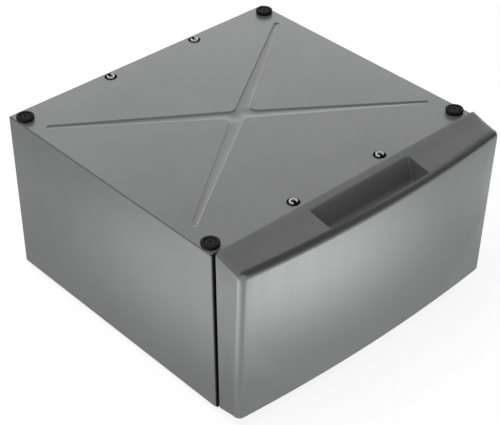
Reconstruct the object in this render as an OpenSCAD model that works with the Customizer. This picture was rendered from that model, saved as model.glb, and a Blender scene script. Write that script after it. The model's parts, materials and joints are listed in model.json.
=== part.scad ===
// Laundry pedestal with one deep drawer: a pressed steel cabinet, a bowed front
// with a finger scoop, telescopic ball slides and four levelling feet.
// X runs to the right, Y to the back and Z up. The origin is on the floor, in the
// middle of the footprint.

/* [Cabinet] */
// Width over the side panels
cabinet_w = 686; // [640:1:740]
// Depth from the back edge to the front edge of the side panels
cabinet_d = 616; // [590:1:680]
// Height of the cabinet without its feet
cabinet_h = 366; // [340:1:420]
// Thickness of the sheet steel
sheet_t = 1.2; // [0.8:0.1:1.6]
// Outside radius of the sheet's bends
bend_r = 3; // [2.4:0.2:4]
// Width of the return flanges
flange_w = 20; // [14:1:24]
// How far the back panel sits inside the back edge
back_recess = 3; // [2.6:0.1:6]
// How far the top plate's edge stays inside the side panels
plate_inset = 1.6; // [0.6:0.1:3]
// Height of the top plate's front lip
plate_lip_h = 30; // [16:1:34]

/* [Pressed cross] */
// From the middle of a tip to the cabinet's side
cross_side_margin = 36; // [28:1:80]
// From the middle of a tip to the cabinet's front or back
cross_end_margin = 87; // [70:1:140]
// Width of an arm at the middle
cross_root_w = 28; // [16:1:40]
// Width of an arm at its tip
cross_tip_w = 13; // [11:1:16]
// Depth of the pressing
cross_depth = 2.2; // [1:0.1:3]
// Run of the pressing's sloped wall
cross_wall = 4; // [2:0.1:5.2]
// Radius in the corners between the arms
cross_fillet_r = 14; // [8:1:30]

/* [Rubber pads] */
// Diameter of a pad
pad_d = 36.5; // [30:0.5:37]
// Height of a pad above the top plate
pad_h = 8; // [5:0.5:10]
// From a left pad's middle to the cabinet's side
pad_left_inset = 18.5; // [18.5:0.5:30]
// From a right pad's middle to the cabinet's side
pad_right_inset = 21.5; // [18.5:0.5:30]
// From a back pad's middle to the back edge
pad_back_inset = 30; // [22:0.5:45]
// From a front pad's middle to the side panels' front edge
pad_front_inset = 23.5; // [21:0.5:30]

/* [Bolt retainers] */
// Diameter of the hole in the top plate
retainer_d = 27; // [24:0.5:28]
// From a retainer's middle to the front or back edge
retainer_inset = 17.5; // [16:0.5:18]
// Distance between the two retainers of a pair
retainer_spacing = 228; // [180:1:260]
// How far the back pair sits to the right and the front pair to the left
retainer_shift = 14; // [0:1:20]
// Diameter of the bolt hole in a retainer
retainer_bolt_d = 8.4; // [6.4:0.2:8.8]
// Outside diameter of the open ring around the bolt
retainer_ring_d = 16.4; // [14:0.2:18]
// Wall of that ring
retainer_ring_t = 2.6; // [1.8:0.1:2.7]
// How far the ring stands above the top plate
retainer_rise = 3; // [1:0.5:5]
// Angle of the ring's gap, which faces the nearer edge of the top plate
retainer_gap_a = 100; // [60:5:140]

/* [Frame] */
// Width of a corner post
post_w = 25.5; // [24:0.5:32]
// Depth of a corner post
post_d = 44; // [34:1:60]
// Thickness of the posts, rails and brackets
frame_t = 1.6; // [1.2:0.1:2]
// Height of the front rail under the top plate
top_rail_h = 36; // [34:1:44]
// Height of the rails along the bottom
base_rail_h = 38; // [30:1:44]
// Depth of the rails
rail_d = 32; // [31:0.5:36]
// Thickness of the dust seal around the drawer opening
seal_t = 3; // [2:0.5:4]
// Width of the dust seal
seal_w = 23; // [16:1:24]

/* [Levelling feet] */
// Height of the cabinet above the floor with the feet screwed in
foot_h = 13; // [12:0.5:16]
// Diameter of a foot's base
foot_d = 36; // [28:1:40]
// Height of a foot's base
foot_base_h = 7; // [5:0.5:8]
// Diameter of a foot's stem
stem_d = 10; // [8:0.5:12]
// Length of a foot's stem above its base
stem_l = 46; // [40:1:48]
// From a foot's middle to the cabinet's side
foot_side_inset = 38; // [36:1:50]
// From a foot's middle to the cabinet's front or back edge
foot_end_inset = 56; // [52:1:70]
// Thickness of the corner bracket that holds a foot
bracket_t = 3; // [2:0.5:4]

/* [Drawer front] */
// Gap from the side panels' front edge to the drawer front
front_gap = 10.5; // [8:0.5:14]
// How much narrower the drawer front is than the cabinet, at each side
front_side_gap = 0.5; // [0.5:0.5:6]
// Thickness of the drawer front at its two ends
front_t = 70; // [60:1:84]
// How far the middle of the drawer front bows out along the top
front_bow = 20.5; // [6:0.5:26]
// How far the middle of the drawer front bows out along the bottom
front_low_bow = 16.5; // [6:0.5:26]
// How far the front's back edge stands above the top plate
front_rise = 12.5; // [6:0.5:18]
// Fall of the front's top from back to front
front_fall = 19; // [8:0.5:24]
// How far the front's top dips below a straight line
front_dip = 2; // [0.5:0.5:3]
// How far the face leans back at the bottom
front_rake = 17.5; // [0:0.5:24]
// Height of the front's lower edge above the cabinet's bottom, at the back
front_clear = 2; // [1:0.5:8]
// Rise of the front's underside from back to front
front_bottom_rise = 6; // [0:0.5:10]
// Narrowing of the front from back to face, at each side
front_draft = 1.5; // [0:0.1:3]
// Radius of the edges at the top and the ends of the face
face_edge_r = 12; // [7:0.5:13]
// Radius of the edges along the top of the ends
end_edge_r = 8; // [2:0.5:10]
// Radius of the edges along the bottom
low_edge_r = 5; // [2:0.5:7]
// Radius of the edges at the back
rear_edge_r = 2.5; // [1:0.5:4]
// Wall of the moulded front
front_wall = 3; // [2.2:0.1:4]
// Thickness of the metal skin on the face
skin_t = 0.8; // [0.6:0.1:1.2]
// How far the skin wraps back round the edges
skin_wrap = 13; // [12:0.5:13.5]

/* [Finger scoop] */
// Length of the scoop's opening
scoop_w = 262; // [180:1:320]
// From the front's back edge to the scoop
scoop_back = 18.5; // [14:0.5:26]
// Thickness of the rim between the scoop and the face
scoop_rim = 14.5; // [14.5:0.5:18]
// Depth of the scoop below the face's top edge
scoop_depth = 42; // [30:1:60]
// Radius of the scoop's upright corners
scoop_corner_r = 4; // [2:0.5:10]
// Radius between the scoop's floor and its front wall
scoop_floor_r = 8; // [4:0.5:12]
// Radius of the scoop's back edge
scoop_lip_r = 7; // [2:0.5:10]
// Lean of the scoop's back wall
scoop_lean = 14; // [4:1:24]
// Radius between the scoop's back wall and its floor
scoop_heel_r = 14; // [8:0.5:20]

/* [Drawer box] */
// Length of the drawer box
box_l = 560; // [530:1:570]
// Height of the box's sides
box_h = 236; // [200:1:250]
// From the cabinet's bottom to the underside of the box
box_lift = 46; // [45:1:52]
// Width of the hem along the top of the box
hem_w = 9; // [7:0.5:14]
// Depth of that hem's turned-down edge
hem_drop = 7; // [5:0.5:12]
// Width of the flanges that carry the floor
floor_flange_w = 16; // [10:1:22]
// Width of the tabs that hold the sides to the front
tab_w = 20; // [16:1:28]
// Diameter of the rubber bumpers behind the front
bumper_d = 12; // [8:0.5:14]

/* [Slides] */
// Length of a closed slide
slide_l = 500; // [460:10:520]
// How far the drawer opens
slide_travel = 450; // [380:10:460]
// From the cabinet's bottom to the middle of the slide
slide_lift = 108; // [100:1:140]
// Height of the cabinet member
slide_h = 45.7; // [44:0.1:50]
// Thickness of a closed slide
slide_t = 12.7; // [12.7:0.1:14]
// Thickness of a slide member
member_t = 1.6; // [1.4:0.1:1.8]
// Diameter of a ball
ball_d = 4.76; // [4.2:0.02:5]
// Depth of a ball groove in its flange
groove_depth = 0.6; // [0.4:0.05:0.8]
// Gap between a ball and its groove
ball_gap = 0.15; // [0.1:0.01:0.2]
// From the middle of the balls to the drawer box
ball_inset = 3.9; // [3.8:0.05:4.3]
// How far the cabinet member's flanges stop short of the drawer box
outer_short = 1.3; // [1.1:0.1:1.6]
// How far the middle member's flanges stop short of the drawer box
middle_short = 0.9; // [0.6:0.1:1.1]
// Gap between the webs of the cabinet member and the middle member
web_gap = 1.4; // [1.3:0.1:1.6]
// Depth of the drawer member
inner_depth = 6.5; // [6:0.1:6.8]
// Thickness of a ball cage
cage_t = 0.6; // [0.5:0.05:0.8]
// Length of a ball cage
cage_l = 236; // [180:1:250]
// Distance between the balls of a row
ball_pitch = 28; // [20:1:40]
// Height of the bracket that carries a slide
carrier_h = 64; // [58:1:80]

/* [Screws] */
// Diameter of a screw's washer head
screw_head_d = 10; // [8:0.5:11]
// Height of a screw's head
screw_head_h = 2; // [1.5:0.1:2.4]
// Diameter of a screw's shank
screw_shank_d = 4; // [3:0.1:4.5]

/* [Hidden] */
$fn = 48;
// Overrun of every cut
over = 1;
// Gap left between parts that only just clear each other
clearance = 0.3;
// Steps round a small bend or corner
arc_steps = 5;

// Steps along the face and round its edges
face_steps = 20;
corner_steps = 5;

// The dip in the front's top: its place along the top, and its radius
dip_share = 0.4;
dip_r = 5 * front_t;

// Places that follow from the sizes above
floor_z = foot_h;
plate_z = foot_h + cabinet_h;
front_x = cabinet_w / 2 - front_side_gap;
front_top_z = plate_z + front_rise;
front_low_z = floor_z + front_clear;
front_reach = max([for (p = front_profile(0, 0, 0, 0)) p.x]);
depth = cabinet_d + front_gap + front_reach;
back_y = depth / 2;
cab_front_y = back_y - cabinet_d;
front_y = cab_front_y - front_gap;
under_plate_z = plate_z - sheet_t;
inner_x = cabinet_w / 2 - sheet_t;
post_x = inner_x - post_w;
carrier_x = post_x - frame_t;
box_x = carrier_x - slide_t;
back_panel_y = back_y - back_recess;
front_post_y = cab_front_y + sheet_t;
rear_post_y = back_panel_y - 2 * sheet_t;
rail_z = floor_z + sheet_t;
bracket_z = floor_z + 8 * sheet_t;

// Sheet metal helpers
function unit(v) = v / norm(v);
function mean(list) = [for (v = list) 1] * list / len(list);
function arc_about(c, r, a0, a1, n) = [for (i = [0:n]) c + r * [cos(a0 + (a1 - a0) * i / n),
                                                              sin(a0 + (a1 - a0) * i / n)]];
function turn(a) = a > 180 ? a - 360 : a < -180 ? a + 360 : a;
// The arc that rounds corner p between its neighbours a and b
function corner_arc(a, p, b, r, n) =
    let (da = unit(a - p), db = unit(b - p), half = acos(da * db) / 2,
         c = p + unit(da + db) * r / sin(half),
         ta = p + da * r / tan(half) - c, tb = p + db * r / tan(half) - c,
         a0 = atan2(ta.y, ta.x), sweep = turn(atan2(tb.y, tb.x) - a0))
    arc_about(c, r, a0, a0 + sweep, n);
// A closed outline with each corner rounded to its own radius
function rounded(points, radii, n) =
    let (m = len(points))
    [for (i = [0:m - 1])
        each corner_arc(points[(i + m - 1) % m], points[i], points[(i + 1) % m], radii[i], n)];
// An open path with its inner corners rounded
function bent(points, r, n) =
    let (m = len(points))
    [points[0], for (i = [1:m - 2]) each corner_arc(points[i - 1], points[i], points[i + 1], r, n),
     points[m - 1]];
function side_normal(points, i) =
    let (m = len(points), before = i > 0 ? unit(points[i] - points[i - 1]) : undef,
         after = i < m - 1 ? unit(points[i + 1] - points[i]) : undef,
         d = i == 0 ? after : i == m - 1 ? before : unit(before + after),
         stretch = i == 0 || i == m - 1 ? 1 : 1 / sqrt((1 + before * after) / 2))
    [-d.y, d.x] * stretch;
// Sheet of thickness t whose outside follows the path; the sheet lies on the path's left
module sheet_profile(points, r, t) {
    path = bent(points, r, arc_steps);
    inside = [for (i = [0:len(path) - 1]) path[i] + side_normal(path, i) * t];
    polygon(concat(path, [for (i = [len(path) - 1:-1:0]) inside[i]]));
}
// Extrudes an x-z profile from y0 towards the back
module along_y(y0, length) {
    translate([0, y0 + length, 0]) rotate([90, 0, 0]) linear_extrude(length) children();
}
// Extrudes a y-z profile from x0 to the right
module along_x(x0, length) {
    translate([x0, 0, 0]) rotate([90, 0, 90]) linear_extrude(length) children();
}
// The part on the left is the mirror image of the one on the right
module on_side(side) {
    if (side > 0) children();
    else mirror([1, 0, 0]) children();
}
// A closed solid through rings of equal size, each counter-clockwise seen from the last one.
// Its ends are fans about the mean of a ring and its first points, as many as lead
module loft(rings, lead = 0) {
    m = len(rings[0]);
    k = len(rings);
    hubs = [for (ring = [rings[0], rings[k - 1]])
        mean(concat([mean(ring)], [for (i = [0:1:lead - 1]) ring[i]]))];
    points = [for (ring = rings) each ring, hubs[0], hubs[1]];
    polyhedron(points, concat(
        [for (j = [0:k - 2], i = [0:m - 1])
            let (a = j * m + i, b = j * m + (i + 1) % m) each [[a, b + m, b], [a, a + m, b + m]]],
        [for (i = [0:m - 1]) [k * m, i, (i + 1) % m]],
        [for (i = [0:m - 1]) [k * m + 1, (k - 1) * m + (i + 1) % m, (k - 1) * m + i]]));
}

// The pressed cross, as an outline drawn in by a distance
cross_tip = [cabinet_w / 2 - cross_side_margin, cabinet_d / 2 - cross_end_margin];
cross_l = norm(cross_tip);
cross_angle = atan2(cross_tip.y, cross_tip.x);
cross_taper = asin((cross_root_w - cross_tip_w) / 2 / cross_l);
cross_arms = [cross_angle, 180 - cross_angle, 180 + cross_angle, 360 - cross_angle];
function cross_outline(inset) = [for (k = [0:3])
    let (a = cross_arms[k], next = k < 3 ? cross_arms[k + 1] : 360 + cross_arms[0],
         out = 90 - cross_taper, gap = next - a,
         tip = cross_l * [cos(a), sin(a)],
         notch = (cross_root_w / 2 + cross_fillet_r) / sin(gap / 2 + cross_taper)
                 * [cos(a + gap / 2), sin(a + gap / 2)])
    each concat(
        arc_about(tip, cross_tip_w / 2 - inset, a - out, a + out, 2 * arc_steps),
        arc_about(notch, -cross_fillet_r - inset, a + out, next - out, 2 * arc_steps))];
cross_middle = [0, back_y - cabinet_d / 2];
function cross_ring(inset, z) = [for (p = cross_outline(inset)) [p.x, p.y + cross_middle.y, z]];
// The pressing's wall starts steep and runs out to its floor
cross_wall_shares = [[1, 1], [0.55, 0.86], [0.22, 0.5], [0, 0]];
module cross_solid(top, drop) {
    loft(concat([for (s = cross_wall_shares) cross_ring(s[0] * cross_wall, top - s[1] * cross_depth)],
                [cross_ring(0, top + drop)]));
}

// Where the pads, retainers and feet sit: side is -1 or 1, end is -1 at the front and 1 at the back
function pad_place(side, end) = [
    side * (cabinet_w / 2 - (side > 0 ? pad_right_inset : pad_left_inset)),
    end > 0 ? back_y - pad_back_inset : cab_front_y + pad_front_inset];
function retainer_place(side, end) = [end * retainer_shift + side * retainer_spacing / 2,
    end > 0 ? back_y - retainer_inset : cab_front_y + retainer_inset];
function foot_place(side, end) = [side * (cabinet_w / 2 - foot_side_inset),
    end > 0 ? back_y - foot_end_inset : cab_front_y + foot_end_inset];
corners = [[-1, -1], [1, -1], [-1, 1], [1, 1]];
module at(place, z) {
    translate([place.x, place.y, z]) children();
}

// Cabinet
spigot_d = pad_d / 3;
module top_plate() {
    color("gray") difference() {
        union() {
            translate([-inner_x - sheet_t + plate_inset, cab_front_y, under_plate_z])
                cube([cabinet_w - 2 * plate_inset, cabinet_d - plate_inset, sheet_t]);
            translate([-post_x + clearance, cab_front_y, plate_z - plate_lip_h])
                cube([2 * (post_x - clearance), sheet_t, plate_lip_h]);
            cross_solid(under_plate_z, sheet_t / 2);
        }
        cross_solid(plate_z, over);
        for (c = corners) {
            at(retainer_place(c.x, c.y), under_plate_z - over)
                cylinder(d = retainer_d, h = sheet_t + 2 * over);
            at(pad_place(c.x, c.y), under_plate_z - over)
                cylinder(d = spigot_d + 2 * clearance, h = sheet_t + 2 * over);
        }
    }
}

module side_panel() {
    x = cabinet_w / 2;
    top = under_plate_z;
    y0 = cab_front_y + bend_r;
    color("dimgray") difference() {
        union() {
            along_y(y0, cabinet_d - bend_r)
                sheet_profile([[x - flange_w, floor_z], [x, floor_z], [x, top], [x - flange_w, top]],
                              bend_r, sheet_t);
            translate([0, 0, floor_z + bend_r]) linear_extrude(cabinet_h - sheet_t - 2 * bend_r) {
                sheet_profile([[post_x, cab_front_y], [x, cab_front_y],
                               [x, cab_front_y + flange_w]], bend_r, sheet_t);
                translate([inner_x - flange_w, back_panel_y - 2 * sheet_t])
                    square([flange_w + sheet_t / 2, sheet_t]);
            }
        }
        back_screw_holes();
    }
}

rib_l = cabinet_w - 8 * flange_w;
rib_w = 1.6 * flange_w;
rib_depth = back_recess - sheet_t / 2;
rib_height_shares = [0.28, 0.72];
module rib(w, drop, height) {
    for (share = rib_height_shares)
        translate([0, back_panel_y, floor_z + share * cabinet_h]) rotate([-90, 0, 0])
            translate([0, 0, -drop]) linear_extrude(drop + height) {
                square([rib_l, w], center = true);
                for (s = [-1, 1]) translate([s * rib_l / 2, 0]) circle(d = w);
            }
}
module back_panel() {
    z0 = floor_z + sheet_t;
    z1 = under_plate_z - sheet_t;
    color("dimgray") difference() {
        union() {
            along_x(-inner_x, 2 * inner_x) sheet_profile(
                [[back_panel_y, z0], [back_panel_y, z1], [back_panel_y - flange_w, z1]],
                bend_r, sheet_t);
            rib(rib_w, sheet_t / 2, rib_depth);
        }
        rib(rib_w - 2 * sheet_t, 2 * sheet_t, rib_depth - sheet_t);
        for (s = [-1, 1])
            translate([s > 0 ? post_x - clearance : -inner_x - over,
                       back_panel_y - flange_w - over, z1 - 2 * bend_r])
                cube([post_w + clearance + over, flange_w - sheet_t + over, 2 * bend_r + over]);
        for (s = [-1, 1])
            at(retainer_place(s, 1), z1 - sheet_t - over)
                cylinder(r = retainer_d / 2 + retainer_rim_w + clearance, h = sheet_t + 2 * over);
        back_screw_holes();
    }
}

module front_seal() {
    x = cabinet_w / 2 - plate_inset;
    z0 = floor_z + plate_inset;
    z1 = plate_z - 2 * sheet_t;
    color("black") difference() {
        translate([-x, cab_front_y - seal_t, z0]) cube([2 * x, seal_t, z1 - z0]);
        translate([seal_w - x, cab_front_y - seal_t - over, z0 + seal_w])
            cube([2 * (x - seal_w), seal_t + 2 * over, z1 - z0 - 2 * seal_w]);
    }
}

// Channels between the posts, open at the bottom or at the back
module top_rail() {
    x = post_x;
    y0 = cab_front_y + sheet_t;
    top = under_plate_z;
    color("gray") difference() {
        along_x(-x, 2 * x) sheet_profile(
            [[y0, top - top_rail_h], [y0, top], [y0 + rail_d, top], [y0 + rail_d, top - top_rail_h]],
            bend_r, -frame_t);
        for (s = [-1, 1])
            at(retainer_place(s, -1), top - frame_t - over)
                cylinder(r = retainer_d / 2 + retainer_rim_w + clearance, h = frame_t + 2 * over);
    }
}
module base_rail(y0, open) {
    color("gray") along_x(-post_x, 2 * post_x) sheet_profile(
        [[y0 + open * rail_d, rail_z], [y0, rail_z], [y0, rail_z + base_rail_h],
         [y0 + open * rail_d, rail_z + base_rail_h]], bend_r, -open * frame_t);
}

// Inside radius of the side panel's bends
bend_room = bend_r - sheet_t;
module corner_post(end) {
    x0 = post_x;
    z0 = bracket_z + bracket_t;
    y0 = end > 0 ? rear_post_y : front_post_y;
    d = -end * post_d;
    x1 = end > 0 ? inner_x : inner_x - bend_room;
    color("gray") difference() {
        translate([0, 0, z0]) linear_extrude(under_plate_z - sheet_t - z0)
            sheet_profile([[x1, y0], [x0, y0], [x0, y0 + d], [inner_x, y0 + d]],
                          bend_r, end * frame_t);
        if (end > 0) back_screw_holes();
    }
}

foot_plate_l = foot_end_inset + foot_d;
module foot_bracket(end) {
    foot = foot_place(1, end);
    y_end = end > 0 ? rear_post_y : front_post_y + bend_room;
    x0 = foot.x - 1.2 * foot_d;
    lo = min(y_end, y_end - end * foot_plate_l);
    rail_y = y_end - end * (rail_d + clearance);
    color("silver") difference() {
        union() {
            translate([x0, lo, bracket_z]) cube([inner_x - x0, foot_plate_l, bracket_t]);
            translate([inner_x - bracket_t, lo, floor_z + bend_r])
                cube([bracket_t, foot_plate_l, bracket_z - floor_z - bend_r + bracket_t / 2]);
            at(foot, bracket_z) cylinder(d = 1.8 * stem_d, h = bracket_t + 0.6 * stem_d);
        }
        at(foot, bracket_z - over) cylinder(r = stem_d / 2 + stem_clearance, h = stem_l);
        translate([x0 - over, end > 0 ? rail_y : y_end - over, floor_z])
            cube([post_x - x0 + over, rail_d + clearance + over, stem_l]);
    }
}

// A stem runs freely in its bracket and lock nut
stem_clearance = 0.06;
nut_h = 0.5 * stem_d;
module lock_nuts() {
    color("silver") for (c = corners) at(foot_place(c.x, c.y), bracket_z - nut_h) difference() {
        cylinder(d = 1.96 * stem_d, h = nut_h, $fn = 6);
        translate([0, 0, -over]) cylinder(r = stem_d / 2 + stem_clearance, h = nut_h + 2 * over);
    }
}

module foot(side, end) {
    collar_top = bracket_z - nut_h - clearance;
    edge = foot_base_h / 4;
    at(foot_place(side, end), 0) {
        color("black") rotate_extrude() polygon(bent(
            [[0, 0], [foot_d / 2, 0], [foot_d / 2, foot_base_h / 2], [0.3 * foot_d, foot_base_h],
             [0, foot_base_h]], edge, arc_steps));
        color("silver") {
            translate([0, 0, foot_base_h]) cylinder(d = 1.7 * stem_d, h = collar_top - foot_base_h, $fn = 6);
            translate([0, 0, foot_base_h]) cylinder(d = stem_d, h = stem_l);
        }
    }
}

// Pads and retainers on the top plate
pad_groove_shares = [0.56, 0.66];
module pad(side, end) {
    r = pad_d / 2;
    edge = 0.3 * pad_h;
    g0 = pad_groove_shares[0] * r;
    g1 = pad_groove_shares[1] * r;
    dimple = 0.14 * r;
    at(pad_place(side, end), plate_z) color("black") difference() {
        rotate_extrude() polygon(concat(
            [[0, -sheet_t], [spigot_d / 2, -sheet_t], [spigot_d / 2, 0], [0.97 * r, 0]],
            arc_about([r - edge, pad_h - edge], edge, 0, 90, arc_steps),
            [[g1, pad_h], [g1 - edge / 4, 0.7 * pad_h], [g0 + edge / 4, 0.7 * pad_h],
             [g0, 0.88 * pad_h], [0, 0.88 * pad_h]]));
        translate([0, 0, 0.6 * pad_h]) cylinder(r = dimple, h = pad_h);
    }
}

// A retainer is an open ring in a cup, which snaps into the top plate
cup_t = 1.5;
retainer_rim_w = 0.08 * retainer_d;
cup_depth = 0.34 * retainer_d;
module bolt_cup(side, end) {
    r = retainer_d / 2 - clearance;
    at(retainer_place(side, end), under_plate_z) color("black") difference() {
        rotate_extrude() polygon([
            [0, -cup_depth], [r - cup_t, -cup_depth], [r, cup_t - cup_depth],
            [r, -cup_t / 2], [r + retainer_rim_w, -cup_t / 2], [r + retainer_rim_w, 0],
            [r, 0], [r, 0.8 * sheet_t], [r - cup_t / 2, 0.8 * sheet_t],
            [r - cup_t, 1.6 * cup_t - cup_depth], [0, 1.6 * cup_t - cup_depth]]);
        translate([0, 0, -cup_depth - over])
            cylinder(d = retainer_bolt_d, h = cup_depth + 2 * over);
    }
}
module retainer(side, end) {
    r = retainer_ring_d / 2;
    mid = r - retainer_ring_t / 2;
    half = retainer_gap_a / 2;
    z0 = 1.6 * cup_t - cup_depth;
    at(retainer_place(side, end), under_plate_z + z0) color("white")
        rotate([0, 0, end * 90]) linear_extrude(sheet_t + retainer_rise - z0) {
            difference() {
                circle(r = r);
                circle(r = r - retainer_ring_t);
                polygon([[0, 0], 2 * r * [cos(half), -sin(half)], [4 * r, 0],
                         2 * r * [cos(half), sin(half)]]);
            }
            for (s = [-1, 1]) translate(mid * [cos(half), s * sin(half)])
                circle(d = retainer_ring_t);
        }
}

// Slides: distances across a slide run from the carrier towards the drawer
race_r = ball_d / 2 + ball_gap;
slide_z = floor_z + slide_lift;
ball_s = slide_t - ball_inset;
outer_in = slide_h / 2 - member_t;
ball_z = [outer_in + groove_depth - race_r, outer_in - 3 * race_r + 3 * groove_depth - member_t];
middle_out = ball_z[0] - race_r + groove_depth;
inner_out = ball_z[1] - race_r + groove_depth;
outer_s = [0, slide_t - outer_short];
middle_s = [member_t + web_gap, slide_t - middle_short];
inner_s = [slide_t - inner_depth, slide_t];
slide_y = cab_front_y - seal_t + clearance;
module race(i) {
    for (s = [-1, 1]) translate([ball_s, s * ball_z[i]]) circle(r = race_r);
}
module channel(s_from, s_to, half_h, web_at) {
    difference() {
        translate([s_from, -half_h]) square([s_to - s_from, 2 * half_h]);
        translate([web_at > 0 ? s_from - over : s_from + member_t, member_t - half_h])
            square([s_to - s_from - member_t + over, 2 * (half_h - member_t)]);
    }
}
module across_slide(y0, length) {
    translate([carrier_x, y0 + length, slide_z]) mirror([1, 0, 0]) rotate([90, 0, 0])
        linear_extrude(length) children();
}
module slide_outer() {
    color("silver") across_slide(slide_y, slide_l) difference() {
        channel(outer_s[0], outer_s[1], slide_h / 2, -1);
        race(0);
    }
}
module slide_middle() {
    color("silver") across_slide(slide_y, slide_l) difference() {
        channel(middle_s[0], middle_s[1], middle_out, -1);
        race(0);
        race(1);
    }
}
module slide_inner() {
    color("silver") difference() {
        across_slide(slide_y, slide_l) difference() {
            channel(inner_s[0], inner_s[1], inner_out, 1);
            race(1);
        }
        box_screw_holes();
    }
}
cage_gap = [(middle_s[0] - outer_s[0] - member_t - cage_t) / 2,
            (inner_s[0] - middle_s[0] - member_t - cage_t) / 2];
cage_s = [outer_s[0] + member_t + cage_gap[0], middle_s[0] + member_t + cage_gap[1]];
cage_end_s = [outer_s[1] - cage_t, middle_s[1] - cage_t];
balls_in_row = floor((cage_l - ball_pitch) / ball_pitch) + 1;
module ball_cage(i) {
    y0 = slide_y + slide_travel / 4 + (slide_l - slide_travel / 2 - cage_l) / 2;
    ball_y0 = y0 + (cage_l - (balls_in_row - 1) * ball_pitch) / 2;
    color("gainsboro") difference() {
        across_slide(y0, cage_l) difference() {
            translate([cage_s[i], -ball_z[i] - cage_t / 2])
                square([cage_end_s[i] - cage_s[i], 2 * ball_z[i] + cage_t]);
            translate([cage_s[i] + cage_t, cage_t / 2 - ball_z[i]])
                square([slide_t, 2 * ball_z[i] - cage_t]);
        }
        for (k = [0:balls_in_row - 1]) translate([carrier_x - ball_s, ball_y0 + k * ball_pitch, slide_z])
            cylinder(r = ball_d / 2 + ball_gap / 2, h = 2 * slide_h, center = true);
    }
    color("white") for (k = [0:balls_in_row - 1], s = [-1, 1])
        translate([carrier_x - ball_s, ball_y0 + k * ball_pitch, slide_z + s * ball_z[i]])
            sphere(d = ball_d);
}

// The bracket between the posts that carries a slide
module slide_carrier() {
    y0 = front_post_y;
    y1 = rear_post_y;
    h = carrier_h / 2;
    color("gray") {
        translate([carrier_x, y0, slide_z - h]) cube([frame_t, y1 - y0, carrier_h]);
        for (s = [-1, 1])
            translate([carrier_x + frame_t / 2, y0 + post_d, slide_z + (s > 0 ? h - frame_t : -h)])
                cube([inner_x - carrier_x - frame_t / 2, y1 - y0 - 2 * post_d, frame_t]);
    }
}

// The drawer front as sections across its width: u runs forward from its back edge
function bowed(x, bow) = let (r = (front_x * front_x + bow * bow) / 2 / bow) sqrt(r * r - x * x) - r + bow;
function face_u(x) = front_t + bowed(x, front_bow);
function low_face_u(x) = front_t - front_rake + bowed(x, front_low_bow);
function drafted(x, u) = x * (1 - front_draft * max(u, 0) / front_t / front_x);
// Height of the front's top at u, where its face is at f
function top_z(u, f) = front_top_z - front_fall * u / f
    - front_dip * min(u / f / dip_share, (f - u) / f / (1 - dip_share));
// One section, drawn in by inset all round and by pinch at the face's edges
function front_profile(x, inset, pinch, back) =
    let (f = face_u(x), cut = inset + pinch,
         low = pinch * end_edge_r / face_edge_r + inset, up = pinch * low_edge_r / face_edge_r + inset,
         r = max(face_edge_r - inset, face_edge_r / 4), rl = max(low_edge_r - inset, low_edge_r / 4),
         rr = max(rear_edge_r - inset, rear_edge_r / 4))
    rounded(
        [[back, front_top_z - low], [dip_share * f, top_z(dip_share * f, f) - low],
         [f - cut, front_top_z - front_fall - low],
         [low_face_u(x) - cut, front_low_z + front_bottom_rise + up], [back, front_low_z + up]],
        [rr, dip_r, r, rl, rr], corner_steps);
function front_section(x, inset, pinch, back) = [for (p = front_profile(x, inset, pinch, back))
    [drafted(x, p.x), front_y - p.x, p.y]];
function stations(half, r) = concat(
    [for (i = [0:corner_steps]) let (a = 90 * i / corner_steps)
        [r * (1 - cos(a)) - half, r * (1 - sin(a))]],
    [for (i = [1:face_steps - 1]) [(2 * i / face_steps - 1) * (half - r), 0]],
    [for (i = [corner_steps:-1:0]) let (a = 90 * i / corner_steps)
        [half - r * (1 - cos(a)), r * (1 - sin(a))]]);
module front_form(inset, back) {
    loft([for (s = stations(front_x - inset, max(face_edge_r - inset, face_edge_r / 4)))
        front_section(s[0], inset, s[1], back)]);
}
// The room in front of the line where the skin ends
module skin_zone() {
    far = 2 * front_t;
    loft([for (i = [0:face_steps]) let (x = (2 * i / face_steps - 1) * (front_x + over),
            at_x = min(abs(x), front_x), u = face_u(at_x) - skin_wrap, low_u = low_face_u(at_x) - skin_wrap)
        [[x, front_y - u, front_top_z + over], [x, front_y - far, front_top_z + over],
         [x, front_y - far, front_low_z - over], [x, front_y - low_u, front_low_z - over]]]);
}
module front_skin() {
    color("silver") difference() {
        intersection() {
            front_form(0, 0);
            skin_zone();
        }
        front_form(skin_t, 0);
    }
}

// The scoop as sections across its length: a cut of height over, or the outside of its wall
function scoop_section(x, pinch, wall, over_top) =
    let (f = face_u(x), z0 = front_top_z - front_fall - scoop_depth + pinch - wall,
         u0 = scoop_back + pinch - wall, u1 = f - scoop_rim - pinch + wall,
         r = scoop_floor_r + wall / 2, heel = scoop_heel_r + wall,
         lip = over_top > 0 ? scoop_lip_r : 0, top = top_z(u0 - lip, f),
         z_lip = top - scoop_lip_r, z_over = front_top_z + over_top, sink = front_wall / 2,
         heel_u = u0 + (heel + (z_lip - z0 - heel) * sin(scoop_lean)) / cos(scoop_lean))
    [for (p = concat(
        [for (u = [u0 - lip, dip_share * f, u1]) [u, over_top > 0 ? z_over : top_z(u, f) - sink]],
        [for (i = [corner_steps:-1:1]) let (a = 90 * i / corner_steps)
            [u1 - r + r * sin(a), z0 + r * (1 - cos(a))]],
        [for (i = [corner_steps:-1:0]) let (a = scoop_lean + (90 - scoop_lean) * i / corner_steps)
            [heel_u - heel * cos(a), z0 + heel * (1 - sin(a))]],
        [for (i = [0:1:over_top > 0 ? corner_steps : 0])
            let (a = scoop_lean + (90 - scoop_lean) * i / corner_steps)
            [u0 - lip * (1 - cos(a)), z_lip + lip * sin(a)]]))
        [x, front_y - p.x, p.y]];
module scoop_form(wall, over_top) {
    loft([for (s = stations(scoop_w / 2 + wall, scoop_corner_r + wall))
        scoop_section(s[0], s[1], wall, over_top)], 3);
}
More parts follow.
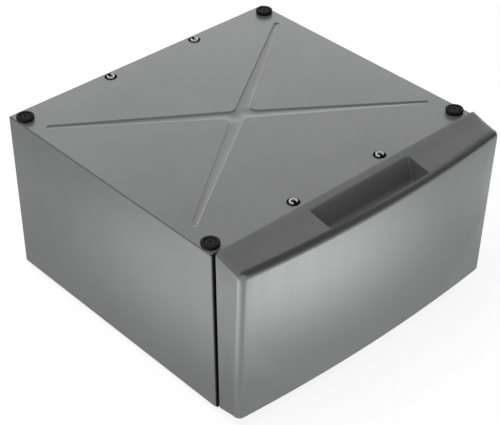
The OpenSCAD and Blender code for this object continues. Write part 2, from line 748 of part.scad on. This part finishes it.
// Distance of the face from the front's back edge
function face_at(x, z) = let (top = front_top_z - front_fall, low = front_low_z + front_bottom_rise)
    face_u(x) + (low_face_u(x) - face_u(x)) * (top - z) / (top - low);
boss_d = 2.2 * screw_shank_d;
boss_hole_l = 3 * screw_shank_d;
module drawer_front() {
    color("dimgray") difference() {
        union() {
            difference() {
                front_form(skin_t, 0);
                front_form(skin_t + front_wall, -over);
            }
            scoop_form(front_wall, 0);
            for (p = cover_screw_places)
                translate([p.x, front_y - sheet_t, p.y]) rotate([90, 0, 0])
                    cylinder(d = boss_d, h = face_at(p.x, p.y) - sheet_t - skin_t - front_wall / 2);
        }
        scoop_form(0, over);
        for (p = cover_screw_places)
            translate([p.x, front_y, p.y]) rotate([90, 0, 0])
                cylinder(r = screw_hole_r, h = sheet_t + boss_hole_l);
    }
}

// Steel plate that closes the front's hollow and carries the drawer box
backing_x = front_x - skin_t - front_wall - clearance;
backing_z = [front_low_z + skin_t + front_wall + clearance,
             front_top_z - skin_t - front_wall - 3 * clearance];
module front_backing() {
    color("gray") difference() {
        translate([0, front_y, 0]) rotate([90, 0, 0]) linear_extrude(sheet_t)
            polygon(rounded([for (c = [[-1, 0], [1, 0], [1, 1], [-1, 1]])
                [c.x * backing_x, backing_z[c.y]]], [for (c = corners) face_edge_r], corner_steps));
        front_screw_holes();
    }
}

// Drawer box
box_z = floor_z + box_lift;
box_back_y = front_y + box_l;
module box_side() {
    top = box_z + box_h;
    color("lightgray") difference() {
        union() {
            along_y(front_y, box_l) sheet_profile(
                [[box_x - floor_flange_w, box_z], [box_x, box_z], [box_x, top], [box_x - hem_w, top],
                 [box_x - hem_w, top - hem_drop]], bend_r / 2, sheet_t);
            translate([box_x - tab_w, front_y, box_z + hem_drop + 2 * sheet_t])
                cube([tab_w - sheet_t / 2, sheet_t, box_h - 2 * hem_drop - 4 * sheet_t]);
        }
        box_screw_holes();
        front_screw_holes();
    }
}
module box_back() {
    top = box_z + box_h - hem_drop - clearance;
    low = box_z + 2 * sheet_t;
    x = box_x - sheet_t - clearance;
    color("lightgray") along_x(-x, 2 * x) sheet_profile(
        [[box_back_y - floor_flange_w, low], [box_back_y, low], [box_back_y, top],
         [box_back_y - hem_w, top], [box_back_y - hem_w, top - hem_drop]], bend_r / 2, sheet_t);
}
module box_floor() {
    x = box_x - sheet_t - clearance;
    color("lightgray") translate([-x, front_y + sheet_t + clearance, box_z + sheet_t])
        cube([2 * x, box_l - sheet_t - clearance, sheet_t]);
}

module front_bumpers() {
    l = front_gap - seal_t - clearance;
    x = backing_x - bumper_d / 2;
    color("black") for (s = [-1, 1], z = [backing_z[0] + 2 * bumper_d, plate_z - 2 * bumper_d])
        translate([s * x, front_y, z]) rotate([-90, 0, 0]) cylinder(d = bumper_d, h = l);
}

// Screws: each shank runs through the sheets it holds, its head on the outer one
screw_clearance = 0.05;
screw_hole_r = screw_shank_d / 2 + screw_clearance;
module screw(shank_l) {
    washer_h = 0.4 * screw_head_h;
    cylinder(d = screw_head_d, h = washer_h);
    translate([0, 0, washer_h / 2])
        cylinder(d = 0.7 * screw_head_d, h = screw_head_h - washer_h / 2, $fn = 6);
    translate([0, 0, -shank_l]) cylinder(d = screw_shank_d, h = shank_l + washer_h / 2);
}
module back_screw_at(side, share) {
    translate([side * (inner_x - flange_w / 2), back_panel_y, floor_z + share * cabinet_h])
        rotate([-90, 0, 0]) children();
}
back_screw_shares = [0.08, 0.36, 0.64, 0.92];
module back_screws() {
    color("silver") for (s = [-1, 1], share = back_screw_shares)
        back_screw_at(s, share) screw(2 * sheet_t + 2 * frame_t);
}
module back_screw_holes() {
    for (s = [-1, 1], share = back_screw_shares)
        back_screw_at(s, share) cylinder(r = screw_hole_r, h = 4 * (2 * sheet_t + frame_t), center = true);
}
module box_screw_at(side, share) {
    translate([side * (box_x - sheet_t), slide_y + share * slide_l, slide_z])
        rotate([0, -side * 90, 0]) children();
}
box_screw_shares = [0.1, 0.5, 0.9];
module box_screws() {
    color("silver") for (s = [-1, 1], share = box_screw_shares)
        box_screw_at(s, share) screw(sheet_t + member_t);
}
module box_screw_holes() {
    for (share = box_screw_shares)
        box_screw_at(1, share) cylinder(r = screw_hole_r, h = 4 * (sheet_t + member_t), center = true);
}
cover_screw_shares = [-0.9, -0.5, 0.5, 0.9];
cover_screw_places = [for (share = cover_screw_shares, z = [0, 1])
    [share * backing_x, z > 0 ? front_top_z - front_fall - face_edge_r - boss_d
                              : backing_z[0] + screw_head_d]];
tab_screw_shares = [0.15, 0.5, 0.85];
tab_screw_places = [for (s = [-1, 1], share = tab_screw_shares)
    [s * (box_x - sheet_t / 2 - tab_w / 2), box_z + share * box_h]];
module front_screws() {
    color("silver") {
        for (p = cover_screw_places)
            translate([p.x, front_y, p.y]) rotate([-90, 0, 0]) screw(sheet_t + boss_hole_l / 2);
        for (p = tab_screw_places)
            translate([p.x, front_y + sheet_t, p.y]) rotate([-90, 0, 0]) screw(3 * sheet_t);
    }
}
module front_screw_holes() {
    for (p = concat(cover_screw_places, tab_screw_places))
        translate([p.x, front_y, p.y]) rotate([90, 0, 0])
            cylinder(r = screw_hole_r, h = 4 * sheet_t, center = true);
}

top_plate();
on_side(-1) side_panel();  // side_panel_left
on_side(1) side_panel();  // side_panel_right
back_panel();
front_seal();
top_rail();
base_rail(front_post_y, 1);  // base_rail_front
base_rail(rear_post_y, -1);  // base_rail_rear
on_side(-1) corner_post(-1);  // corner_post_front_left
on_side(1) corner_post(-1);  // corner_post_front_right
on_side(-1) corner_post(1);  // corner_post_rear_left
on_side(1) corner_post(1);  // corner_post_rear_right
on_side(-1) foot_bracket(-1);  // foot_bracket_front_left
on_side(1) foot_bracket(-1);  // foot_bracket_front_right
on_side(-1) foot_bracket(1);  // foot_bracket_rear_left
on_side(1) foot_bracket(1);  // foot_bracket_rear_right
lock_nuts();
foot(-1, -1);  // foot_front_left
foot(1, -1);  // foot_front_right
foot(-1, 1);  // foot_rear_left
foot(1, 1);  // foot_rear_right
pad(-1, -1);  // pad_front_left
pad(1, -1);  // pad_front_right
pad(-1, 1);  // pad_rear_left
pad(1, 1);  // pad_rear_right
bolt_cup(-1, -1);  // bolt_cup_front_left
bolt_cup(1, -1);  // bolt_cup_front_right
bolt_cup(-1, 1);  // bolt_cup_rear_left
bolt_cup(1, 1);  // bolt_cup_rear_right
retainer(-1, -1);  // retainer_front_left
retainer(1, -1);  // retainer_front_right
retainer(-1, 1);  // retainer_rear_left
retainer(1, 1);  // retainer_rear_right
on_side(-1) slide_carrier();  // slide_carrier_left
on_side(1) slide_carrier();  // slide_carrier_right
on_side(-1) slide_outer();  // slide_outer_left
on_side(1) slide_outer();  // slide_outer_right
on_side(-1) slide_middle();  // slide_middle_left
on_side(1) slide_middle();  // slide_middle_right
on_side(-1) slide_inner();  // slide_inner_left
on_side(1) slide_inner();  // slide_inner_right
on_side(-1) ball_cage(0);  // outer_ball_cage_left
on_side(1) ball_cage(0);  // outer_ball_cage_right
on_side(-1) ball_cage(1);  // inner_ball_cage_left
on_side(1) ball_cage(1);  // inner_ball_cage_right
drawer_front();
front_skin();
front_backing();
on_side(-1) box_side();  // box_side_left
on_side(1) box_side();  // box_side_right
box_back();
box_floor();
front_bumpers();
back_screws();
box_screws();
front_screws();
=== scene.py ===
"""Studio scene of the laundry pedestal: camera, light, materials and small pieces."""
import json
import math

import bpy
from mathutils import Matrix, Vector


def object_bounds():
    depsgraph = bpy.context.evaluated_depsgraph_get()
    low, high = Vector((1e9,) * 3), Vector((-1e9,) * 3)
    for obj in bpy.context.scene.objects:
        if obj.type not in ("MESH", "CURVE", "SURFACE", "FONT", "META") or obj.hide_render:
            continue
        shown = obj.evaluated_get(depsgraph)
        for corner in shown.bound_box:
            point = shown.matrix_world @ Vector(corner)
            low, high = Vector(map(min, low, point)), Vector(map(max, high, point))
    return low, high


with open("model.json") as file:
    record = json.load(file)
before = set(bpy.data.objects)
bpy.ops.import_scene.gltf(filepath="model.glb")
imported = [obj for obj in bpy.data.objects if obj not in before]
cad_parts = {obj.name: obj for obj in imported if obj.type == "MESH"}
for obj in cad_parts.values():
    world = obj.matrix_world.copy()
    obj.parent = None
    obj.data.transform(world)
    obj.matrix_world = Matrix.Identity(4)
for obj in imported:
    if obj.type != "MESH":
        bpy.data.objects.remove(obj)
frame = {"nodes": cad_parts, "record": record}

cad_box = [list(corner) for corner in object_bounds()]
nodes = frame["nodes"]
scene = bpy.context.scene
scene.view_settings.view_transform = "Standard"


# Camera, from the perspective of the photograph
def add_camera(place, yaw, pitch, roll, focal_px, middle_px, size_px=(500, 425)):
    """Camera that looks along yaw (from +Y to +X) and down by pitch, all in degrees."""
    yaw, pitch, roll = (math.radians(angle) for angle in (yaw, pitch, roll))
    ahead = Vector((math.sin(yaw) * math.cos(pitch), math.cos(yaw) * math.cos(pitch), -math.sin(pitch)))
    right = Vector((math.cos(yaw), -math.sin(yaw), 0))
    up = right.cross(ahead)
    right, up = (math.cos(roll) * right + math.sin(roll) * up,
                 math.cos(roll) * up - math.sin(roll) * right)
    data = bpy.data.cameras.new("camera")
    data.sensor_fit = "HORIZONTAL"
    data.sensor_width = 36
    data.lens = focal_px * data.sensor_width / size_px[0]
    data.shift_x = (size_px[0] / 2 - middle_px[0]) / size_px[0]
    data.shift_y = (middle_px[1] - size_px[1] / 2) / size_px[0]
    data.clip_end = 50
    camera = bpy.data.objects.new("camera", data)
    turn = Matrix((right, up, -ahead)).transposed().to_4x4()
    camera.matrix_world = Matrix.Translation(place) @ turn
    scene.collection.objects.link(camera)
    scene.camera = camera


add_camera(place=(-1.6551, -1.8264, 1.9658), yaw=42.05, pitch=36.26, roll=-0.39,
           focal_px=1478.6, middle_px=(254.4, 214.3))


# Light
def add_area(name, place, target, size, power):
    """Rectangular lamp at place that shines towards target."""
    data = bpy.data.lights.new(name, "AREA")
    data.shape = "RECTANGLE"
    data.size, data.size_y = size
    data.energy = power
    lamp = bpy.data.objects.new(name, data)
    lamp.location = place
    lamp.rotation_euler = (Vector(target) - Vector(place)).to_track_quat("-Z", "Y").to_euler()
    scene.collection.objects.link(lamp)
    return lamp


def ramp(tree, value, start, end, low, high):
    """Map value from start..end to low..high, with a soft start and end."""
    made = tree.nodes.new("ShaderNodeMapRange")
    made.interpolation_type = "SMOOTHSTEP"
    for key, number in (("From Min", start), ("From Max", end), ("To Min", low), ("To Max", high)):
        made.inputs[key].default_value = number
    tree.links.new(value, made.inputs["Value"])
    return made.outputs["Result"]


def calc(tree, operation, *values):
    """A Math or Vector Math node on sockets and numbers."""
    kind = "ShaderNodeVectorMath" if operation == "LENGTH" else "ShaderNodeMath"
    made = tree.nodes.new(kind)
    made.operation = operation
    for slot, value in enumerate(values):
        if hasattr(value, "is_output"):
            tree.links.new(value, made.inputs[slot])
        else:
            made.inputs[slot].default_value = value
    return made.outputs["Value"]


# Turns from +Y to +X, in degrees, between which the pale rings behind the object come up,
# change from their strength at the left to the one at the right, and fade
rings_rise = (-34, 6)
rings_change = (15, 65)
rings_fade = (63, 92)
# The glow from the front left starts and is full at these shares of that direction
glow_share = (0.3, 0.7)


def radians(angles):
    return [math.radians(angle) for angle in angles]


def build_world(level, shine, glow, rings):
    """White for the camera. The object gets even light. It reflects a dim world with pale rings
    low behind it, each with the heights of its ends and middle, and with a glow from the front left."""
    world = bpy.data.worlds.new("studio")
    scene.world = world
    world.use_nodes = True
    tree = world.node_tree
    tree.nodes.clear()
    out = tree.nodes.new("ShaderNodeOutputWorld")
    light = tree.nodes.new("ShaderNodeBackground")
    paths = tree.nodes.new("ShaderNodeLightPath")
    aim = tree.nodes.new("ShaderNodeTexCoord").outputs["Generated"]
    apart = tree.nodes.new("ShaderNodeSeparateXYZ")
    tree.links.new(aim, apart.inputs[0])
    height = apart.outputs["Z"]
    turn = calc(tree, "ARCTAN2", apart.outputs["X"], apart.outputs["Y"])
    lit = shine
    for (start, middle, end), at_left, at_right in rings:
        up = ramp(tree, height, start, middle, 0, 1)
        down = ramp(tree, height, middle, end, 1, 0)
        strength = ramp(tree, turn, *radians(rings_change), at_left, at_right)
        lit = calc(tree, "ADD", lit, calc(tree, "MULTIPLY", calc(tree, "MULTIPLY", up, down), strength))
    behind = calc(tree, "MULTIPLY", ramp(tree, turn, *radians(rings_rise), 0, 1),
                  ramp(tree, turn, *radians(rings_fade), 1, 0))
    ahead = calc(tree, "DIVIDE", calc(tree, "ADD", apart.outputs["X"], apart.outputs["Y"]), -math.sqrt(2))
    lit = calc(tree, "MAXIMUM", calc(tree, "MULTIPLY", lit, behind),
               ramp(tree, ahead, *glow_share, shine, glow))
    lit = calc(tree, "MULTIPLY", lit, paths.outputs["Is Glossy Ray"])
    even = calc(tree, "MULTIPLY", paths.outputs["Is Diffuse Ray"], level)
    seen = calc(tree, "MAXIMUM", calc(tree, "MAXIMUM", lit, even), paths.outputs["Is Camera Ray"])
    tree.links.new(seen, light.inputs["Strength"])
    tree.links.new(light.outputs[0], out.inputs["Surface"])


even_level = 0.5
build_world(level=even_level, shine=0.13, glow=0.6,
            rings=[((0.05, 0.32, 0.5), 2.1, 4.2), ((0.35, 0.5, 0.62), 1.5, 0)])
key = add_area("key", place=(-0.8, 0.3, 2.8), target=(0, 0, 0.2), size=(2.2, 2.2), power=42)
key.visible_glossy = False


# Materials
class Shader:
    """Small helper that builds one node material."""

    def __init__(self, name):
        self.material = bpy.data.materials.new(name)
        self.material.use_nodes = True
        self.tree = self.material.node_tree
        self.bsdf = self.tree.nodes["Principled BSDF"]

    def node(self, kind, **inputs):
        made = self.tree.nodes.new(kind)
        for key, value in inputs.items():
            if hasattr(made, key) and key not in made.inputs:
                setattr(made, key, value)
            else:
                made.inputs[key].default_value = value
        return made

    def link(self, source, target):
        self.tree.links.new(source, target)

    def set(self, **values):
        for key, value in values.items():
            self.bsdf.inputs[key.replace("_", " ")].default_value = value
        return self

    def coords(self, scale=(1, 1, 1)):
        place = self.node("ShaderNodeTexCoord")
        mapping = self.node("ShaderNodeMapping")
        mapping.inputs["Scale"].default_value = scale
        self.link(place.outputs["Object"], mapping.inputs["Vector"])
        return mapping.outputs["Vector"]

    def noise(self, coords, scale, detail=4, rough=0.55):
        made = self.node("ShaderNodeTexNoise", Scale=scale, Detail=detail, Roughness=rough)
        self.link(coords, made.inputs["Vector"])
        return made.outputs["Fac"]

    def remap(self, value, low, high, start=0.3, end=0.7):
        made = self.node("ShaderNodeMapRange")
        for key, number in (("From Min", start), ("From Max", end), ("To Min", low), ("To Max", high)):
            made.inputs[key].default_value = number
        self.link(value, made.inputs["Value"])
        return made.outputs["Result"]

    def mix(self, factor, dark, light):
        # As colours, the node's A and B are its inputs 6 and 7, and its result is output 2
        made = self.node("ShaderNodeMix", data_type="RGBA")
        made.inputs[6].default_value = (*dark, 1)
        made.inputs[7].default_value = (*light, 1)
        self.link(factor, made.inputs[0])
        self.link(made.outputs[2], self.bsdf.inputs["Base Color"])

    def bump(self, height, strength, distance):
        made = self.node("ShaderNodeBump", Strength=strength, Distance=distance)
        self.link(height, made.inputs["Height"])
        self.link(made.outputs["Normal"], self.bsdf.inputs["Normal"])


def grey(level, spread=0.0, cool=0.0):
    return (level * (1 + spread) * (1 - cool), level * (1 + spread), level * (1 + spread) * (1 + cool))


def paint(name, level, rough, metal, spread=0.03, peel=0.25):
    """Powder coat: fine orange peel and slow, faint clouds of colour."""
    s = Shader(name).set(Metallic=metal, IOR=1.5)
    s.mix(s.remap(s.noise(s.coords(), 9, 3), 0, 1), grey(level, -spread, 0.006), grey(level, spread, 0.006))
    s.link(s.remap(s.noise(s.coords(), 60, 3), rough - 0.015, rough + 0.015), s.bsdf.inputs["Roughness"])
    s.bump(s.noise(s.coords(), 1400, 2), peel, 0.00004)
    return s.material


def moulded(name, level, rough, spread=0.03, metal=0.0):
    """Moulded plastic with a fine spark-eroded grain, metallic where it matches the paint."""
    s = Shader(name).set(Metallic=metal, IOR=1.47)
    s.mix(s.remap(s.noise(s.coords(), 12, 3), 0, 1), grey(level, -spread, 0.004), grey(level, spread, 0.004))
    s.link(s.remap(s.noise(s.coords(), 30, 3), rough - 0.03, rough + 0.04), s.bsdf.inputs["Roughness"])
    s.bump(s.noise(s.coords(), 1800, 3), 0.3, 0.00005)
    return s.material


def brushed(name, level, rough, along=(900, 900, 6), spread=0.06):
    """Steel with fine brush lines along Z and a few broader streaks."""
    s = Shader(name).set(Metallic=1.0, Anisotropic=0.5)
    fine = s.noise(s.coords(along), 1, 4, 0.7)
    broad = s.noise(s.coords((along[0] / 18, along[1] / 18, along[2] / 10)), 1, 3)
    s.mix(s.remap(fine, 0, 1), grey(level, -spread, 0.008), grey(level, spread, 0.008))
    s.link(s.remap(broad, rough - 0.02, rough + 0.02), s.bsdf.inputs["Roughness"])
    s.bump(fine, 0.12, 0.00003)
    return s.material


def zinc(name, level, rough, scale=60):
    """Zinc plate with a faint, irregular spangle."""
    s = Shader(name).set(Metallic=1.0)
    cells = s.node("ShaderNodeTexVoronoi", Scale=scale)
    s.link(s.coords(), cells.inputs["Vector"])
    s.mix(s.remap(cells.outputs["Distance"], 0, 1, 0, 0.8), grey(level, -0.08, 0.01), grey(level, 0.06, 0.01))
    s.link(s.remap(s.noise(s.coords(), 40, 3), rough - 0.05, rough + 0.06), s.bsdf.inputs["Roughness"])
    s.bump(s.noise(s.coords(), 900, 3), 0.15, 0.00003)
    return s.material


def rubber(name, level, rough=0.62):
    """Black rubber with a dull, slightly dusty surface."""
    s = Shader(name).set(Metallic=0.0, IOR=1.5, Specular_IOR_Level=0.2)
    s.mix(s.remap(s.noise(s.coords(), 120, 5), 0, 1), grey(level * 0.8), grey(level * 1.3))
    s.link(s.remap(s.noise(s.coords(), 60, 4), rough - 0.06, rough + 0.08), s.bsdf.inputs["Roughness"])
    s.bump(s.noise(s.coords(), 2200, 3), 0.35, 0.00006)
    return s.material


# Height over which one look of a piece turns into the other, and the foot's thread
border = 0.0003
thread_pitch = 0.0015
thread_depth = 0.0004


def height_of(s):
    """Height over the floor in the piece's own coordinates."""
    apart = s.node("ShaderNodeSeparateXYZ")
    s.link(s.node("ShaderNodeTexCoord").outputs["Object"], apart.inputs[0])
    return apart.outputs["Z"]


def step(s, height, limit, low=0, high=1):
    """low below the height limit and high above it."""
    return ramp(s.tree, height, limit - border, limit, low, high)


def foot_look(name, seat, thread):
    """Black plastic up to the height seat, zinc plate above it, and a thread from the height thread."""
    s = Shader(name).set(IOR=1.47)
    z = height_of(s)
    grain = s.remap(s.noise(s.coords(), 40, 3), 0, 1)
    s.mix(calc(s.tree, "MULTIPLY", grain, step(s, z, seat)), grey(0.02), grey(0.62))
    s.link(step(s, z, seat), s.bsdf.inputs["Metallic"])
    s.link(step(s, z, seat, low=0.5, high=0.33), s.bsdf.inputs["Roughness"])
    turns = calc(s.tree, "SINE", calc(s.tree, "MULTIPLY", z, 2 * math.pi / thread_pitch))
    s.bump(calc(s.tree, "MULTIPLY", turns, step(s, z, thread)), 1, thread_depth)
    return s.material


def ring_with_painted_shade(name, level, start):
    """Pale plastic ring that stands in a black socket, with painted shade below the height start: there it is
    coloured near black, for the dark of the hole it sits down in.
    """
    s = Shader(name).set(IOR=1.5)
    # Painted shade: near black below the plate's top, pale above it
    s.mix(step(s, height_of(s), start), grey(0.012), grey(level))
    s.link(s.remap(s.noise(s.coords(), 200, 3), 0.22, 0.32), s.bsdf.inputs["Roughness"])
    s.bump(s.noise(s.coords(), 1500, 3), 0.2, 0.00004)
    return s.material


plate_z = max(corner[2] for corner in nodes["top_plate"].bound_box)
looks = {
    "grey_paint": paint("satin_grey_paint", level=0.32, rough=0.36, metal=0.7),
    "front_plastic": moulded("moulded_front", level=0.31, rough=0.4, metal=0.65),
    "front_metal": brushed("brushed_face", level=0.42, rough=0.36),
    "rubber": rubber("black_rubber", level=0.012),
    "black_plastic": moulded("cup_plastic", level=0.02, rough=0.4),
    # The retainer ring gets painted shade: near black below the plate's top, where it sits in its hole
    "white_plastic": ring_with_painted_shade("retainer_ring_painted_shade", level=0.7, start=plate_z),
    "galvanised_steel": zinc("galvanised_steel", level=0.5, rough=0.42),
    "levelling_foot": foot_look("foot_plastic_and_steel", seat=0.007, thread=0.019),
    "box_steel": paint("drawer_box_paint", level=0.42, rough=0.45, metal=0.2),
    "zinc_plate": zinc("zinc_plate", level=0.55, rough=0.32, scale=140),
    "zinc_screws": zinc("zinc_screws", level=0.55, rough=0.3, scale=200),
}
slot_of = {p["node"]: p["material_slot"] for p in frame["record"]["subparts"]}
for name, node in nodes.items():
    node.data.materials.clear()
    node.data.materials.append(looks[slot_of[name]])


# Shading of the CAD pieces: smooth over small angles, sharp over large ones
def smooth_group(angle):
    group = bpy.data.node_groups.new("smooth_by_angle", "GeometryNodeTree")
    group.interface.new_socket("Geometry", in_out="INPUT", socket_type="NodeSocketGeometry")
    group.interface.new_socket("Geometry", in_out="OUTPUT", socket_type="NodeSocketGeometry")
    start = group.nodes.new("NodeGroupInput")
    end = group.nodes.new("NodeGroupOutput")
    merge = group.nodes.new("GeometryNodeMergeByDistance")
    merge.inputs["Distance"].default_value = 0.00001
    edge = group.nodes.new("GeometryNodeInputMeshEdgeAngle")
    compare = group.nodes.new("FunctionNodeCompare")
    compare.data_type = "FLOAT"
    compare.operation = "LESS_EQUAL"
    compare.inputs[1].default_value = math.radians(angle)
    faces = group.nodes.new("GeometryNodeSetShadeSmooth")
    faces.domain = "FACE"
    edges = group.nodes.new("GeometryNodeSetShadeSmooth")
    edges.domain = "EDGE"
    group.links.new(start.outputs[0], merge.inputs["Geometry"])
    group.links.new(merge.outputs["Geometry"], faces.inputs["Geometry"])
    group.links.new(faces.outputs["Geometry"], edges.inputs["Geometry"])
    group.links.new(edge.outputs["Unsigned Angle"], compare.inputs[0])
    group.links.new(compare.outputs["Result"], edges.inputs["Shade Smooth"])
    group.links.new(edges.outputs["Geometry"], end.inputs[0])
    return group


smoothing = smooth_group(angle=28)
for node in nodes.values():
    node.modifiers.new("smooth", "NODES").node_group = smoothing


# Floor
# Pale patches on the floor, seen only in reflections: one beside each side of the object, as far
# out as the object is high, because that is about where its upright faces reflect the floor
box_low, box_high = (Vector(corner) for corner in cad_box)
width, depth, height = box_high - box_low
patch_strength = 1
patches = [
    ((0, box_low.y - height), (width, height), patch_strength),
    ((0, box_high.y + height), (width, height), patch_strength),
    ((box_low.x - height, 0), (height, depth), patch_strength),
    ((box_high.x + height, 0), (height, depth), patch_strength),
]


def add_floor(size, shadow, white, even):
    """White to the camera but for a share of the object's shadow, and even with pale patches in
    reflections."""
    mesh = bpy.data.meshes.new("floor")
    half = size / 2
    corners = [(-half, -half, 0), (half, -half, 0), (half, half, 0), (-half, half, 0)]
    mesh.from_pydata(corners, [], [range(len(corners))])
    floor = bpy.data.objects.new("floor", mesh)
    scene.collection.objects.link(floor)
    s = Shader("pale_floor").set(Roughness=0.9)
    s.bsdf.inputs["Base Color"].default_value = (0.86, 0.86, 0.86, 1)
    tree = s.tree
    place = tree.nodes.new("ShaderNodeTexCoord").outputs["Object"]
    paths = tree.nodes.new("ShaderNodeLightPath")
    glow = tree.nodes.new("ShaderNodeEmission")
    shine = even
    for middle, reach, strength in patches:
        mapping = tree.nodes.new("ShaderNodeMapping")
        mapping.vector_type = "TEXTURE"
        mapping.inputs["Location"].default_value = (*middle, 0)
        mapping.inputs["Scale"].default_value = (*reach, 1)
        tree.links.new(place, mapping.inputs["Vector"])
        away = calc(tree, "LENGTH", mapping.outputs["Vector"])
        shine = calc(tree, "ADD", shine, ramp(tree, away, 0, 1, strength, 0))
    shine = calc(tree, "MULTIPLY", shine, paths.outputs["Is Glossy Ray"])
    seen = calc(tree, "MULTIPLY", paths.outputs["Is Camera Ray"], white)
    tree.links.new(calc(tree, "MAXIMUM", shine, seen), glow.inputs["Strength"])
    share = calc(tree, "MAXIMUM", calc(tree, "MULTIPLY", paths.outputs["Is Camera Ray"], 1 - shadow),
                 paths.outputs["Is Glossy Ray"])
    mix = tree.nodes.new("ShaderNodeMixShader")
    tree.links.new(share, mix.inputs["Fac"])
    tree.links.new(s.bsdf.outputs[0], mix.inputs[1])
    tree.links.new(glow.outputs[0], mix.inputs[2])
    tree.links.new(mix.outputs[0], tree.nodes["Material Output"].inputs["Surface"])
    floor.data.materials.append(s.material)


add_floor(size=14, shadow=0.25, white=1.15, even=even_level)
